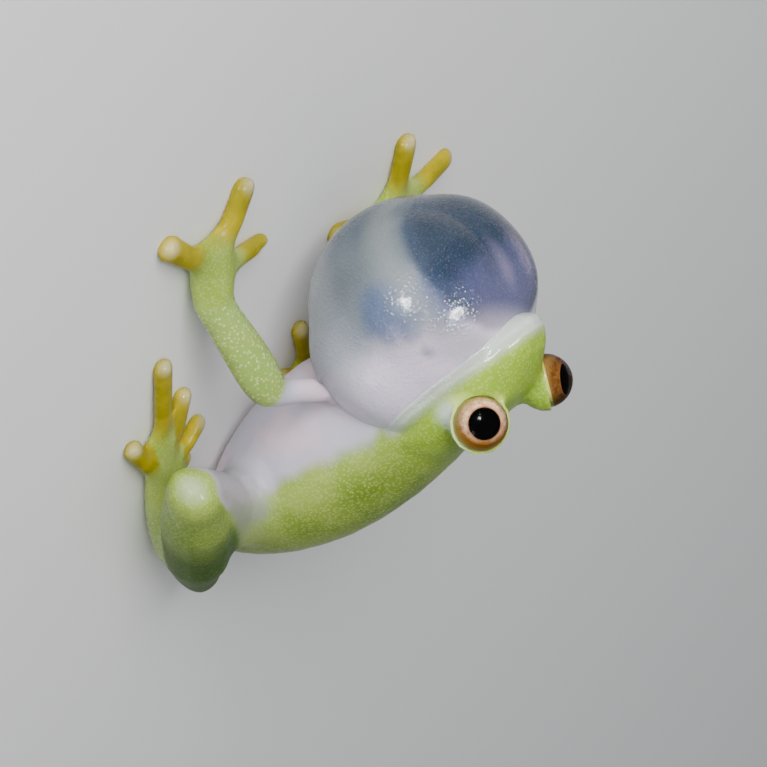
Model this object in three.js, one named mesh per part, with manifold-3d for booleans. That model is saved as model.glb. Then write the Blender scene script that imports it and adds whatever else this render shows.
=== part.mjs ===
// A male glass frog calling with its vocal sac blown up, as a still, life-size model.
// Millimetres, +Z up. The frog faces -Y, its left side is +X, and it rests on the floor at Z = 0.
// The origin is on the floor, under the middle of the frog's bounding box.
import * as THREE from "three";
import { mergeVertices } from "three/addons/utils/BufferGeometryUtils.js";
import Module from "manifold-3d";

const wasm = await Module();
wasm.setup();

// Driving sizes
const BODY_LENGTH = 25; // snout to vent
const BODY_PITCH = THREE.MathUtils.degToRad(27); // the head end is held up off the floor
const VENT_HEIGHT = 2.12;
const GAP = 0.3; // between two neighbouring pieces
const NECK_Y = 8.6; // where the head ends, behind the snout tip
const HEAD_TURN = THREE.MathUtils.degToRad(5); // to the frog's left
const EYE = { x: 3.0, y: 3.83, z: 2.18, radius: 1.28, cornea: 0.14 };
const EYE_TURN = 40; // degrees outwards from straight ahead
const EYE_LIFTS = { left: 8, right: 20 }; // degrees up
const LID = { gap: 0.2, thickness: 0.28, edge: 0.05, lift: 3 };
const SAC = { y: 5.5, z: -4.3, radius: 5.8 };
// The sac swells in four directions, two on each side: degrees outwards from straight ahead, and up.
const SAC_LOBES = [
  { turn: 134, lift: 24, swell: 0.13, spread: 0.6 },
  { turn: 39, lift: -9, swell: 0.083, spread: 0.7 },
];
// The jaw's skin is stretched over the sac, down to a sloping edge.
const JAW = { edge: -1.02, slope: 0.1, proud: 0.12 };
const MOUTH = { front: -0.42, middle: -0.4, back: -0.12, corner: 7.6, groove: 0.15 };
const LIP = { radius: 0.15, rise: 0.22, inset: 0.09 }; // the ridge above and below the line of the mouth
const NOSTRIL = { x: 0.75, y: 0.84, z: 0.5, radius: 0.24, hole: 0.12, pit: [0.18, -0.16, 0.1] };
const SNOUT_TIP = { ahead: 0.27, height: -0.3 }; // of the first station
const VENT_TIP = { behind: 0.3, height: -1 }; // of the last one
const SMOOTH = { sides: 30, headStep: 0.62, bodyStep: 1.2 }; // how finely the trunk is made
const ROUGH = { sides: 28, headStep: 0.9, bodyStep: 1.2 };

// Half widths and half heights along each limb, at even steps
const ARM_SIDES = { sides: 12, steps: 6 };
const LEG_SIDES = { sides: 12, steps: 7 };
const UPPER_ARM = { widths: [0.85, 0.62, 0.59, 0.75], heights: [0.85, 0.62, 0.59, 0.75], ...ARM_SIDES };
const FOREARM = {
  widths: [0.92, 1.15, 1.15, 1.08, 1.0, 1.0],
  heights: [0.92, 1.1, 1.08, 1.02, 0.95, 0.92],
  sides: 12,
  steps: 8,
};
const THIGH = { widths: [1.7, 1.7, 1.5, 1.25], heights: [1.6, 1.7, 1.5, 1.25], ...LEG_SIDES };
const SHANK = { widths: [1.5, 1.95, 1.85, 1.1], heights: [1.55, 1.95, 1.8, 1.1], ...LEG_SIDES };
const TARSUS = { widths: [1.1, 1.1, 1.0, 1.05], heights: [1.1, 1.0, 0.85, 0.78], ...LEG_SIDES };
const TARSUS_BOW = [0.55, 0, -0.35]; // how far the middle of the tarsus stands out and down
const KNEE_SHIFT = 0.3; // how far the cut at the knee stands towards the thigh

// A digit's half widths and half heights, the palm or sole, and how far along the digits each web goes
const HAND = {
  digit: { root: 0.78, waist: 0.6, height: 0.5, discWidth: 0.72, discHeight: 0.48 },
  pad: { width: 1.45, height: 0.92, reach: 2.1, startWidth: 0.75, endHeight: 0.68 },
  webs: [0.35, 0.35, 0.55],
};
const FOOT = {
  digit: { root: 0.58, waist: 0.48, height: 0.44, discWidth: 0.58, discHeight: 0.42 },
  pad: { width: 1.15, height: 0.8, reach: 1.7, startWidth: 0.88, endHeight: 0.68 },
  webs: [0.5, 0.5, 0.45, 0.6],
};
const ROOT_HEIGHT = 0.55; // of the point where the digits meet, above the floor
const TIP_HEIGHT = 0.34;
const DIGIT_ARCH = 0.12; // how far a digit rises in its middle
const WEB = { thickness: 0.5, height: 0.15, hollow: 0.25 };

// The trunk's stations: y behind the snout tip, half width, top, bottom, height of the widest point and
// squareness.
const STATIONS = [
  { y: 0.15, half: 0.95, top: 0.1, bottom: -1.05, widest: -0.5, square: 2.1 },
  { y: 0.6, half: 1.6, top: 0.65, bottom: -1.3, widest: -0.5, square: 2.1 },
  { y: 1.4, half: 2.3, top: 1.25, bottom: -1.5, widest: -0.55, square: 2.1 },
  { y: 2.6, half: 3.05, top: 1.95, bottom: -1.6, widest: -0.6, square: 2.2 },
  { y: 4.2, half: 3.7, top: 2.35, bottom: -1.7, widest: -0.6, square: 2.2 },
  { y: 6.0, half: 4.15, top: 2.6, bottom: -1.8, widest: -0.5, square: 2.2 },
  { y: 8.0, half: 4.35, top: 2.75, bottom: -2.2, widest: -0.5, square: 2.2 },
  { y: 10.0, half: 4.25, top: 3.0, bottom: -4.4, widest: -0.7, square: 2.1 },
  { y: 13.0, half: 4.55, top: 3.3, bottom: -5.7, widest: -0.9, square: 2.1 },
  { y: 16.5, half: 4.75, top: 3.2, bottom: -5.6, widest: -1.1, square: 2.05 },
  { y: 19.5, half: 4.25, top: 2.6, bottom: -4.95, widest: -1.2, square: 2.05 },
  { y: 22.2, half: 3.2, top: 1.6, bottom: -3.8, widest: -1.1, square: 2.05 },
  { y: 24.2, half: 1.9, top: 0.45, bottom: -2.6, widest: -1.0, square: 2.1 },
  { y: 25.0, half: 0.9, top: -0.35, bottom: -1.6, widest: -1.0, square: 2.1 },
];

// Joints of the limbs on one side, as [out from the midline, forward of the vent, up].
const ARMS = {
  left: {
    shoulder: [3.4, 14.9, 6.1],
    elbow: [8.3, 15.45, 4.55],
    wrist: [11.2, 20.2, 1.15],
    heading: 2,
    digits: [
      { turn: -97, length: 3.9 },
      { turn: -80, length: 5.3 },
      { turn: -10, length: 6.3 },
      { turn: 47, length: 6.6 },
    ],
  },
  right: {
    shoulder: [3.4, 14.9, 6.1],
    elbow: [8.4, 14.2, 5.2],
    wrist: [7.2, 17.5, 1.3],
    heading: -9,
    digits: [
      { turn: -82, length: 3.9 },
      { turn: -66, length: 5.8 },
      { turn: 0, length: 6.4 },
      { turn: 67, length: 6.4 },
    ],
  },
};
const LEGS = {
  left: {
    hip: [1.7, 3.4, 2.9],
    knee: [11.1, 10.0, 3.9],
    heel: [3.7, 0.1, 2.4],
    ball: [8.0, 6.2, 0.75],
    heading: 22,
    digits: [
      { turn: -84, length: 2.8 },
      { turn: -51, length: 4.6 },
      { turn: -15, length: 7.0 },
      { turn: 1, length: 10.8 },
      { turn: 21, length: 6.5 },
    ],
  },
  right: {
    hip: [1.7, 3.4, 2.9],
    knee: [11.1, 10.2, 4.1],
    heel: [3.9, 0.2, 2.3],
    ball: [5.2, 7.3, 0.75],
    heading: -12,
    digits: [
      { turn: -66, length: 3.4 },
      { turn: -42, length: 4.2 },
      { turn: -18, length: 6.8 },
      { turn: 7, length: 9.0 },
      { turn: 22, length: 6.2 },
    ],
  },
};

const COLOURS = {
  skin: { color: 0x8fae3c, roughness: 0.45 },
  pale: { color: 0xc9c4bd, roughness: 0.4 },
  yellow: { color: 0xc2a72a, roughness: 0.4 },
  sac: { color: 0xa9b6cf, roughness: 0.2 },
  eye: { color: 0xb98a6a, roughness: 0.1 },
};

const { lerp, smoothstep, degToRad, clamp } = THREE.MathUtils;

// Closed meshes and solids

// The manifold-3d solid of a closed geometry, turned to face outwards.
function solidOf(geometry) {
  const bare = geometry.clone();
  bare.deleteAttribute("normal");
  bare.deleteAttribute("uv");
  const merged = mergeVertices(bare, 1e-4);
  const vertProperties = merged.attributes.position.array;
  const triVerts = new Uint32Array(merged.index.array);
  const solid = new wasm.Manifold(new wasm.Mesh({ numProp: 3, vertProperties, triVerts }));
  if (solid.volume() > 0) return solid;
  for (let i = 0; i < triVerts.length; i += 3) {
    [triVerts[i + 1], triVerts[i + 2]] = [triVerts[i + 2], triVerts[i + 1]];
  }
  return new wasm.Manifold(new wasm.Mesh({ numProp: 3, vertProperties, triVerts }));
}

// The largest closed surface of a solid, as a named mesh.
function meshOf(name, solid, look) {
  const bodies = solid.decompose().sort((a, b) => b.volume() - a.volume());
  const mesh = bodies[0].getMesh();
  const geometry = new THREE.BufferGeometry();
  geometry.setAttribute("position", new THREE.BufferAttribute(new Float32Array(mesh.vertProperties), 3));
  geometry.setIndex(new THREE.BufferAttribute(new Uint32Array(mesh.triVerts), 1));
  geometry.computeVertexNormals();
  const made = new THREE.Mesh(geometry, new THREE.MeshStandardMaterial(COLOURS[look]));
  made.name = name;
  return made;
}

// A closed surface through rings between two poles. Each ring has a centre, a side, an up vector and a
// squareness.
function loft(first, rings, last, sides) {
  const geometry = new THREE.SphereGeometry(1, sides, rings.length + 1);
  const position = geometry.attributes.position;
  for (let row = 0; row <= rings.length + 1; row += 1) {
    for (let column = 0; column <= sides; column += 1) {
      const point = new THREE.Vector3();
      if (row === 0) point.copy(first);
      else if (row === rings.length + 1) point.copy(last);
      else {
        const ring = rings[row - 1];
        const angle = ((column % sides) / sides) * 2 * Math.PI;
        const power = 2 / (ring.square ?? 2);
        const across = Math.sign(Math.cos(angle)) * Math.abs(Math.cos(angle)) ** power;
        const along = Math.sign(Math.sin(angle)) * Math.abs(Math.sin(angle)) ** power;
        const up = along < 0 && ring.down ? ring.down : ring.up;
        point.copy(ring.centre).addScaledVector(ring.side, across).addScaledVector(up, along);
      }
      position.setXYZ(row * (sides + 1) + column, point.x, point.y, point.z);
    }
  }
  return geometry;
}

// A limb along a smooth curve through points, with half sizes at even steps, and round ends.
function limb(points, { widths, heights, sides, steps, caps = [65, 35] }) {
  const curve = new THREE.CatmullRomCurve3(points, false, "centripetal");
  const sizeAt = (list, t) => {
    const place = clamp(t, 0, 1) * (list.length - 1);
    const index = Math.min(Math.floor(place), list.length - 2);
    const share = place - index;
    return lerp(list[index], list[index + 1], share * share * (3 - 2 * share));
  };
  const ringAt = (t, grow, shift) => {
    const tangent = curve.getTangentAt(t);
    const side = new THREE.Vector3(0, 0, -1).cross(tangent).normalize();
    const up = new THREE.Vector3().crossVectors(side, tangent).normalize();
    const width = sizeAt(widths, t);
    const height = sizeAt(heights, t);
    return {
      centre: curve.getPointAt(t).addScaledVector(tangent, shift * Math.min(width, height)),
      side: side.multiplyScalar(width * grow),
      up: up.multiplyScalar(height * grow),
    };
  };
  const cap = caps.map(degToRad);
  const rings = [
    ...cap.map((angle) => ringAt(0, Math.cos(angle), -Math.sin(angle))),
    ...Array.from({ length: steps + 1 }, (_, i) => ringAt(i / steps, 1, 0)),
    ...cap.toReversed().map((angle) => ringAt(1, Math.cos(angle), Math.sin(angle))),
  ];
  return solidOf(loft(ringAt(0, 0, -1).centre, rings, ringAt(1, 0, 1).centre, sides));
}

function ball(centre, radius, stretch = [1, 1, 1], sides = 16) {
  const geometry = new THREE.SphereGeometry(radius, sides, Math.round(sides * 0.7));
  return solidOf(geometry.scale(...stretch).translate(centre.x, centre.y, centre.z));
}

const between = (a, b, share) => a.clone().lerp(b, share);
const joined = (solids) => solids.reduce((whole, next) => whole.add(next));

// Keeps what lies ahead of a plane through point, half a gap away from it.
function ahead(solid, point, normal) {
  const unit = normal.clone().normalize();
  return solid.trimByPlane(unit.toArray(), unit.dot(point) + GAP / 2);
}

const floorFlat = (solid) => solid.trimByPlane([0, 0, 1], 0);

// The trunk's own frame: x to the left, y back from the snout tip, z up along the back.
function onFloor(solid) {
  const cos = Math.cos(BODY_PITCH);
  const sin = Math.sin(BODY_PITCH);
  const pose = new THREE.Matrix4().makeRotationX(-BODY_PITCH);
  pose.setPosition(0, -BODY_LENGTH * cos, VENT_HEIGHT + BODY_LENGTH * sin);
  return solid.transform(pose.elements);
}

// The head turns a little about the neck, more and more from the shoulders to the eyes.
function turnHead(point) {
  const angle = HEAD_TURN * (1 - smoothstep(point.y, NECK_Y - 3, NECK_Y + 2));
  const pivot = new THREE.Vector3(0, NECK_Y, 0);
  return point.sub(pivot).applyAxisAngle(new THREE.Vector3(0, 0, 1), angle).add(pivot);
}

function turned(geometry) {
  const position = geometry.attributes.position;
  for (let i = 0; i < position.count; i += 1) {
    const point = turnHead(new THREE.Vector3().fromBufferAttribute(position, i));
    position.setXYZ(i, point.x, point.y, point.z);
  }
  return geometry;
}

// One size of the trunk at y, on a smooth curve through the stations.
function trunkSize(key, y) {
  const after = STATIONS.findIndex((station) => station.y > y);
  const index = after < 0 ? STATIONS.length - 2 : Math.max(after - 1, 0);
  const at = (i) => STATIONS[clamp(i, 0, STATIONS.length - 1)];
  const [a, b, c, d] = [at(index - 1), at(index), at(index + 1), at(index + 2)];
  const span = c.y - b.y;
  const share = (y - b.y) / span;
  const slopeB = ((c[key] - a[key]) / (c.y - a.y || span)) * span;
  const slopeC = ((d[key] - b[key]) / (d.y - b.y || span)) * span;
  const s2 = share * share;
  const s3 = s2 * share;
  const from = (2 * s3 - 3 * s2 + 1) * b[key] + (s3 - 2 * s2 + share) * slopeB;
  return from + (3 * s2 - 2 * s3) * c[key] + (s3 - s2) * slopeC;
}

// The whole trunk, snout to vent, grown outwards by grow.
function trunk(grow, { sides, headStep, bodyStep }) {
  const ys = [];
  for (let { y } = STATIONS[0]; y <= NECK_Y; y += headStep) ys.push(y);
  for (let y = NECK_Y + bodyStep / 2; y < BODY_LENGTH; y += bodyStep) ys.push(y);
  ys.push(BODY_LENGTH);
  const rings = ys.map((y) => {
    const widest = trunkSize("widest", y);
    return {
      centre: new THREE.Vector3(0, y, widest),
      side: new THREE.Vector3(trunkSize("half", y) + grow, 0, 0),
      up: new THREE.Vector3(0, 0, trunkSize("top", y) - widest + grow),
      down: new THREE.Vector3(0, 0, widest - trunkSize("bottom", y) + grow),
      square: trunkSize("square", y),
    };
  });
  const snout = new THREE.Vector3(0, STATIONS[0].y - SNOUT_TIP.ahead - grow, SNOUT_TIP.height);
  const vent = new THREE.Vector3(0, BODY_LENGTH + VENT_TIP.behind + grow, VENT_TIP.height);
  return turned(loft(snout, rings, vent, sides));
}

// Head

// The direction turned to the left of straight ahead, and lifted.
function aimed(turn, lift) {
  const level = Math.cos(lift);
  return new THREE.Vector3(Math.sin(turn) * level, -Math.cos(turn) * level, Math.sin(lift));
}

const eyeCentre = (side) => turnHead(new THREE.Vector3(side * EYE.x, EYE.y, EYE.z));

function eyeAxis(side, extraLift = 0) {
  const turn = degToRad(EYE_TURN) * side + HEAD_TURN;
  const lift = degToRad(EYE_LIFTS[side > 0 ? "left" : "right"] + extraLift);
  return aimed(turn, lift);
}

// The side of the trunk at y and height z, in the trunk's frame.
function trunkSide(side, y, z) {
  const widest = trunkSize("widest", y);
  const reach = z > widest ? trunkSize("top", y) - widest : widest - trunkSize("bottom", y);
  const square = trunkSize("square", y);
  const share = Math.min(Math.abs(z - widest) / reach, 1);
  return new THREE.Vector3(side * trunkSize("half", y) * (1 - share ** square) ** (1 / square), y, z);
}

// How far out the skin over the sac reaches at y and height z.
function jawSide(side, y, z) {
  const from = new THREE.Vector3(0, y - SAC.y, z - SAC.z);
  const reach = (radius) => Math.sqrt(Math.max(radius ** 2 - from.lengthSq(), 0));
  let x = reach(SAC.radius + JAW.proud);
  for (let i = 0; i < 4; i += 1) x = reach(sacRadius(from.clone().setX(x).normalize()) + JAW.proud);
  return side * x;
}

// A thin tube that follows the line of the mouth round the snout, moved up by rise and inwards by inset.
function mouthTube(radius, rise, inset) {
  const heightAt = (y) => {
    const share = y / MOUTH.corner;
    return share < 0.5
      ? lerp(MOUTH.front, MOUTH.middle, share * 2)
      : lerp(MOUTH.middle, MOUTH.back, share * 2 - 1);
  };
  const left = [1, 0.8, 0.6, 0.4, 0.22, 0.1, 0.03].map((share) => {
    const y = share * MOUTH.corner;
    const point = trunkSide(1, y, heightAt(y) + rise);
    return point.setX(Math.max(point.x, jawSide(1, y, point.z)) - inset);
  });
  const front = new THREE.Vector3(0, STATIONS[0].y - SNOUT_TIP.ahead + inset, MOUTH.front + rise);
  const right = left.toReversed().map((p) => new THREE.Vector3(-p.x, p.y, p.z));
  const path = [...left, front, ...right].map(turnHead);
  const sizes = [radius, radius];
  return limb(path, { widths: sizes, heights: sizes, sides: 5, steps: 18, caps: [45] });
}

function headSolid(whole) {
  let head = whole.add(jaw(0)).trimByPlane([0, -1, 0], -(NECK_Y - GAP / 2));
  head = head.add(mouthTube(LIP.radius, LIP.rise, LIP.inset));
  head = head.add(mouthTube(LIP.radius, -LIP.rise, LIP.inset));
  for (const side of [1, -1]) {
    const centre = eyeCentre(side);
    const axis = eyeAxis(side);
    const opening = eyeAxis(side, LID.lift);
    const lidEdge = opening.dot(centre) + LID.edge;
    const dome = ball(centre, EYE.radius + LID.gap + LID.thickness, [1, 1, 1], 18);
    head = head.add(dome.trimByPlane(opening.clone().negate().toArray(), -lidEdge));
    head = head.subtract(ball(centre, EYE.radius + LID.gap, [1, 1, 1], 18));
    const nose = turnHead(new THREE.Vector3(side * NOSTRIL.x, NOSTRIL.y, NOSTRIL.z));
    head = head.add(ball(nose, NOSTRIL.radius, [1, 1.2, 1], 10));
    const pit = nose.clone().add(new THREE.Vector3(...NOSTRIL.pit).multiply(new THREE.Vector3(side, 1, 1)));
    head = head.subtract(ball(pit, NOSTRIL.hole, [1, 1, 1], 8));
  }
  return head.subtract(mouthTube(MOUTH.groove, 0, 0));
}

// The eyeball, with the cornea standing a little proud along its axis.
function eyeSolid(side) {
  const geometry = new THREE.SphereGeometry(EYE.radius, 16, 10);
  const position = geometry.attributes.position;
  for (let i = 0; i < position.count; i += 1) {
    const point = new THREE.Vector3().fromBufferAttribute(position, i);
    point.y += EYE.cornea * smoothstep(point.y / EYE.radius, 0.4, 1);
    position.setXYZ(i, point.x, point.y, point.z);
  }
  const aim = new THREE.Quaternion().setFromUnitVectors(new THREE.Vector3(0, 1, 0), eyeAxis(side));
  const centre = eyeCentre(side);
  return solidOf(geometry.applyQuaternion(aim).translate(centre.x, centre.y, centre.z));
}

// The radius of the sac in a direction from its centre.
function sacRadius(direction) {
  const mirrored = new THREE.Vector3(Math.abs(direction.x), direction.y, direction.z);
  const swells = SAC_LOBES.map(({ turn, lift, swell, spread }) => {
    const towards = aimed(degToRad(turn), degToRad(lift)).dot(mirrored);
    return swell * smoothstep(towards, spread, 1);
  });
  return SAC.radius * (1 + swells[0] + swells[1]);
}

// The blown-up sac: a ball under the jaw that swells into a lobe behind each corner of the mouth.
function sacSolid(grow, sides) {
  const geometry = new THREE.SphereGeometry(1, sides, Math.round(sides * 0.7));
  const position = geometry.attributes.position;
  for (let i = 0; i < position.count; i += 1) {
    const point = new THREE.Vector3().fromBufferAttribute(position, i);
    point.multiplyScalar(sacRadius(point) + grow);
    point.add(new THREE.Vector3(0, SAC.y, SAC.z));
    turnHead(point);
    position.setXYZ(i, point.x, point.y, point.z);
  }
  return solidOf(geometry);
}

// The skin of the jaw over the top of the sac, above its sloping edge and ahead of the neck.
function jaw(grow) {
  const up = new THREE.Vector3(0, -JAW.slope, 1);
  const edge = JAW.edge / up.length() - grow;
  const skirt = sacSolid(JAW.proud + grow, 36).trimByPlane(up.normalize().toArray(), edge);
  return skirt.trimByPlane([0, -1, 0], -(NECK_Y - GAP / 2 + grow));
}

// Limbs

const place = (side, [out, forward, up]) => new THREE.Vector3(side * out, -forward, up);

// The unit vector along the floor, turned outwards from straight ahead by degrees.
function heading(side, degrees) {
  const angle = degToRad(degrees);
  return new THREE.Vector3(side * Math.sin(angle), -Math.cos(angle), 0);
}

// A finger or toe from root to tip, waisted, with a flat round disc at its end.
function digit(root, tip, size) {
  const middle = root.clone().lerp(tip, 0.5);
  middle.z += DIGIT_ARCH;
  const { root: wide, waist, height, discWidth, discHeight } = size;
  const widths = [wide, wide * 0.95, waist, waist, waist * 1.05, discWidth];
  const heights = [height * 1.2, height * 1.1, height, height, height * 0.95, discHeight];
  return limb([root, middle, tip], { widths, heights, sides: 8, steps: 5, caps: [45] });
}

// The skin between two neighbouring digits, as a thin three-sided sheet from root to part of each length.
function web(root, tipA, tipB, share) {
  const a = root.clone().lerp(tipA, share);
  const b = root.clone().lerp(tipB, share);
  const shape = new THREE.Shape();
  const inner = a.clone().add(b).multiplyScalar(0.5).lerp(root, WEB.hollow);
  shape.moveTo(root.x, root.y);
  shape.lineTo(a.x, a.y);
  shape.quadraticCurveTo(inner.x, inner.y, b.x, b.y);
  const options = { depth: WEB.thickness, bevelEnabled: false, curveSegments: 3 };
  return solidOf(new THREE.ExtrudeGeometry(shape, options).translate(0, 0, WEB.height));
}

// The palm or sole from the joint on, with its digits and the webs between them.
function handSolid(side, joint, spec, { digit: size, pad, webs }) {
  const root = joint.clone().addScaledVector(heading(side, spec.heading), pad.reach).setZ(ROOT_HEIGHT);
  const tips = spec.digits.map(({ turn, length }) => {
    const way = heading(side, spec.heading + turn);
    return joint.clone().addScaledVector(way, length - size.discHeight).setZ(TIP_HEIGHT);
  });
  const palm = limb([joint, between(joint, root, 0.6), root], {
    widths: [pad.width * pad.startWidth, pad.width, pad.width * 0.95],
    heights: [pad.height, pad.height * 0.9, pad.height * pad.endHeight],
    sides: 12,
    steps: 5,
  });
  const start = between(root, joint.clone().setZ(ROOT_HEIGHT), 0.35);
  const digits = tips.map((tip) => digit(start, tip, size));
  const sheets = webs.flatMap((share, i) => (share ? [web(root, tips[i], tips[i + 1], share)] : []));
  return floorFlat(joined([palm, ...digits, ...sheets]));
}

// The normal of the cut through a joint, between the limb from a and the limb on to b.
const awayFrom = (joint, a, b) =>
  joint.clone().sub(a).normalize().negate().add(joint.clone().sub(b).normalize());

function armPieces(name, side, spec, trunkGrown, sacGrown) {
  const shoulder = place(side, spec.shoulder);
  const elbow = place(side, spec.elbow);
  const wrist = place(side, spec.wrist);
  const palm = wrist.clone().addScaledVector(heading(side, spec.heading), HAND.pad.reach).setZ(ROOT_HEIGHT);
  let upper = limb([shoulder, between(shoulder, elbow, 0.5), elbow], UPPER_ARM);
  let lower = limb([elbow, between(elbow, wrist, 0.5), wrist], FOREARM);
  let hand = handSolid(side, wrist, spec, HAND);
  const atElbow = awayFrom(elbow, shoulder, wrist);
  const atWrist = awayFrom(wrist, elbow, palm);
  upper = ahead(upper, elbow, atElbow).subtract(trunkGrown).subtract(sacGrown);
  lower = ahead(ahead(lower, elbow, atElbow.clone().negate()), wrist, atWrist);
  hand = ahead(hand, wrist, atWrist.clone().negate());
  return [
    [`upper_arm_${name}`, upper, "pale"],
    [`forearm_${name}`, lower, "skin"],
    [`hand_${name}`, hand, "yellow"],
  ];
}

function tarsusSolid(side, heel, sole, grow) {
  const middle = between(heel, sole, 0.5).add(place(side, TARSUS_BOW));
  const widths = TARSUS.widths.map((size) => size + grow);
  const heights = TARSUS.heights.map((size) => size + grow);
  return limb([heel, middle, sole], { ...TARSUS, widths, heights });
}

function legPieces(name, side, spec, trunkGrown) {
  const hip = place(side, spec.hip);
  const knee = place(side, spec.knee);
  const heel = place(side, spec.heel);
  const sole = place(side, spec.ball);
  const toes = sole.clone().add(heading(side, spec.heading));
  let thigh = limb([hip, between(hip, knee, 0.5), knee], THIGH);
  let shank = limb([knee, between(knee, heel, 0.5), heel], SHANK);
  let tarsus = tarsusSolid(side, heel, sole, 0);
  let foot = handSolid(side, sole, spec, FOOT);
  const atKnee = awayFrom(knee, hip, heel).normalize();
  const kneeCut = knee.clone().addScaledVector(atKnee, KNEE_SHIFT);
  const atHeel = awayFrom(heel, knee, sole);
  const atSole = awayFrom(sole, heel, toes);
  thigh = ahead(thigh, kneeCut, atKnee).subtract(trunkGrown).subtract(tarsusSolid(side, heel, sole, GAP));
  shank = ahead(ahead(shank, kneeCut, atKnee.clone().negate()), heel, atHeel);
  tarsus = ahead(ahead(tarsus, heel, atHeel.clone().negate()), sole, atSole);
  foot = ahead(foot, sole, atSole.clone().negate());
  return [
    [`thigh_${name}`, floorFlat(thigh), "skin"],
    [`shank_${name}`, floorFlat(shank), "skin"],
    [`tarsus_${name}`, floorFlat(tarsus), "skin"],
    [`foot_${name}`, foot, "yellow"],
  ];
}

// Assembly

function frog() {
  const whole = solidOf(trunk(0, SMOOTH));
  const wholeGrown = onFloor(solidOf(trunk(GAP, ROUGH)));
  const sacGrown = onFloor(sacSolid(GAP, 24));
  const torso = floorFlat(onFloor(whole.trimByPlane([0, 1, 0], NECK_Y + GAP / 2)));
  const pieces = [
    ["torso", torso, "skin"],
    ["head", onFloor(headSolid(whole)), "skin"],
    ["eye_left", onFloor(eyeSolid(1)), "eye"],
    ["eye_right", onFloor(eyeSolid(-1)), "eye"],
    ...armPieces("left", 1, ARMS.left, wholeGrown, sacGrown),
    ...armPieces("right", -1, ARMS.right, wholeGrown, sacGrown),
    ...legPieces("left", 1, LEGS.left, wholeGrown),
    ...legPieces("right", -1, LEGS.right, wholeGrown),
  ];
  const lipGrown = mouthTube(LIP.radius + GAP, -LIP.rise, LIP.inset);
  const sac = sacSolid(0, 28).subtract(jaw(GAP)).subtract(lipGrown);
  pieces.push(["vocal_sac", onFloor(sac).subtract(wholeGrown), "sac"]);
  const group = new THREE.Group();
  for (const [name, solid, look] of pieces) group.add(meshOf(name, solid, look));
  const box = new THREE.Box3().setFromObject(group);
  const middle = box.getCenter(new THREE.Vector3());
  group.position.set(-middle.x, -middle.y, 0);
  return group;
}

export default frog();
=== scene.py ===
import math

import bmesh
import bpy
import numpy as np
from mathutils import Matrix, Vector, noise
from mathutils.bvhtree import BVHTree

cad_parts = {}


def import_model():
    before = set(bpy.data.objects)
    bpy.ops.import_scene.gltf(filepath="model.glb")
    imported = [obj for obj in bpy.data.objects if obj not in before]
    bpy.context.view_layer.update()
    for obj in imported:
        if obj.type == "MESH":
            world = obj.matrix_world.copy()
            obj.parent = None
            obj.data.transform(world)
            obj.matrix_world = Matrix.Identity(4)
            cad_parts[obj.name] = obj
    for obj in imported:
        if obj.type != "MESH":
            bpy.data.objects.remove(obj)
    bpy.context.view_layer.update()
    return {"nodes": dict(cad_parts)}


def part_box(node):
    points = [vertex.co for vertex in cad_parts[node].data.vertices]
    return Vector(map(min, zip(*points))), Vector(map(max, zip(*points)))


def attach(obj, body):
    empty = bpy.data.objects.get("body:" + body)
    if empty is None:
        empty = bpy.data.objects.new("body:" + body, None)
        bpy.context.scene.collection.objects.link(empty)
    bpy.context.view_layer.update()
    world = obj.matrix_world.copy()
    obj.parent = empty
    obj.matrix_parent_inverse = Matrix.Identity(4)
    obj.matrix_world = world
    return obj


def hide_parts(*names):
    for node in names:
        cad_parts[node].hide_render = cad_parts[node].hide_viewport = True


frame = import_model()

# A male glass frog, crouching and calling, on a pale floor. Its solids are dressed in one soft skin, a
# thin throat sac, and eyes with a clear cornea.
# Sizes are in millimetres and turned into metres as each piece is finished.
METRES = 0.001
BODY_LENGTH = 25.0  # snout to vent
VENT_BEYOND = 0.3  # how far the last point of the torso lies behind the body length
BODY_PITCH = math.radians(27)
VENT_HEIGHT = 2.12
NECK = 8.6  # behind the snout tip
HEAD_TURN = math.radians(5)

EYE = {"x": 3.0, "y": 3.83, "z": 2.18, "turn": 40, "lift": {"left": 8, "right": 20}}
GAZE = {"left": (40, 8), "right": (22, 28)}  # where each iris looks, in degrees outwards and up
EYE_BALL = 1.37  # radius of the painted ball
EYE_CORNEA = 1.38  # radius of the clear coat over it
PUPIL = 0.82  # radius of the pupil
IRIS = 1.08  # radius out to which the front of the ball is drawn in, as a shallow cone
# How high the cone stands round the pupil, how far it falls to its rim, and how far the pupil sinks
IRIS_CONE = {"height": 1.0, "fall": 0.2, "sink": 0.16}
# How far the lids are drawn in on to the eyes, between which distances that fades, and what stays clear
LIDS = {"drawn": 0.2, "near": 1.8, "far": 2.4, "clear": 0.01}
SAC = {"y": 5.5, "z": -4.3, "radius": 5.8}
# The sac swells in two directions on each side: degrees outwards and up, by how much, and how widely
SAC_LOBES = ((134, 24, 0.13, 0.6), (39, -9, 0.083, 0.7))
JAW = {"edge": -1.02, "slope": 0.1}  # its skin is stretched over the sac down to this sloping edge
MOUTH = {"front": -0.42, "middle": -0.4, "back": -0.12, "corner": 7.6}
NOSTRIL = {"x": 0.75, "y": 0.7, "z": 0.58}

# Each hand and foot: where it starts, as (left, forward) of the vent, its heading in degrees, and the
# turn and length of each digit
DIGITS = {
    "hand_left": ((11.2, 20.2), 2, ((-97, 3.9), (-80, 5.3), (-10, 6.3), (47, 6.6))),
    "hand_right": ((-7.2, 17.5), -9, ((-82, 3.9), (-66, 5.8), (0, 6.4), (67, 6.4))),
    "foot_left": ((8.0, 6.2), 22, ((-84, 2.8), (-51, 4.6), (-15, 7.0), (1, 10.8), (21, 6.5))),
    "foot_right": ((-5.2, 7.3), -12, ((-66, 3.4), (-42, 4.2), (-18, 6.8), (7, 9.0), (22, 6.2))),
}
TIP = {"inset": 0.1, "height": 0.8}  # the middle of each digit's round end
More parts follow.
